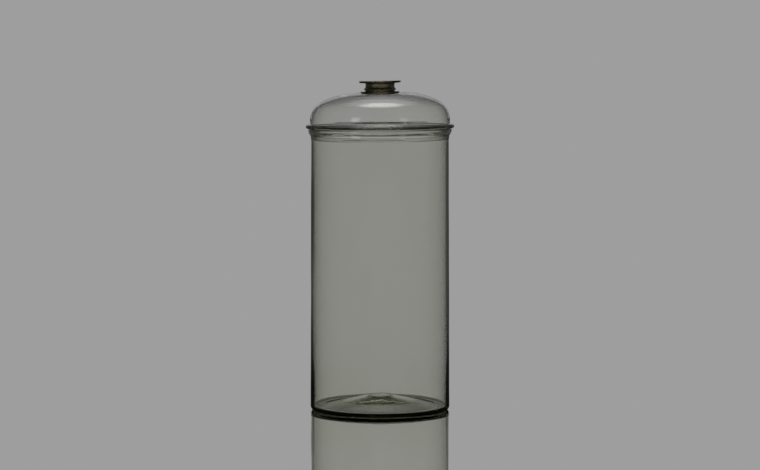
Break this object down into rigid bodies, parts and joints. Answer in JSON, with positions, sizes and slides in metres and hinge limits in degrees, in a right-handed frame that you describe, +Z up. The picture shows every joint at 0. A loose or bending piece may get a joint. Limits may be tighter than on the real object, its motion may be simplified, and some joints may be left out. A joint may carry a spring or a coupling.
{
  "type": "specimen jar",
  "caption": "Tall clear glass cylinder jar with a pushed-up base and a flared lip, and a loose domed glass lid that lifts off by its glass knob.",
  "frame": {"origin": "on the jar's axis, in the plane that the jar stands on", "axes": "+Z up along the jar's axis, from the base to the knob; +X and +Y are interchangeable"},
  "size_m": [0.1336, 0.1336, 0.2975],
  "materials": {
    "clear_glass": "fire-polished, faint olive-grey tint",
    "solid_glass": "fire-polished, the same tint seen dark through solid glass"
  },
  "bodies": {
    "jar": {"jar_body": "clear_glass"},
    "lid": {"lid_dome": "clear_glass", "lid_knob": "solid_glass"}
  },
  "joints": [
    {"name": "lid_lift", "type": "slide", "parent": "jar", "child": "lid", "axis": [0, 0, 1], "range_m": [0, 0.08]}
  ]
}
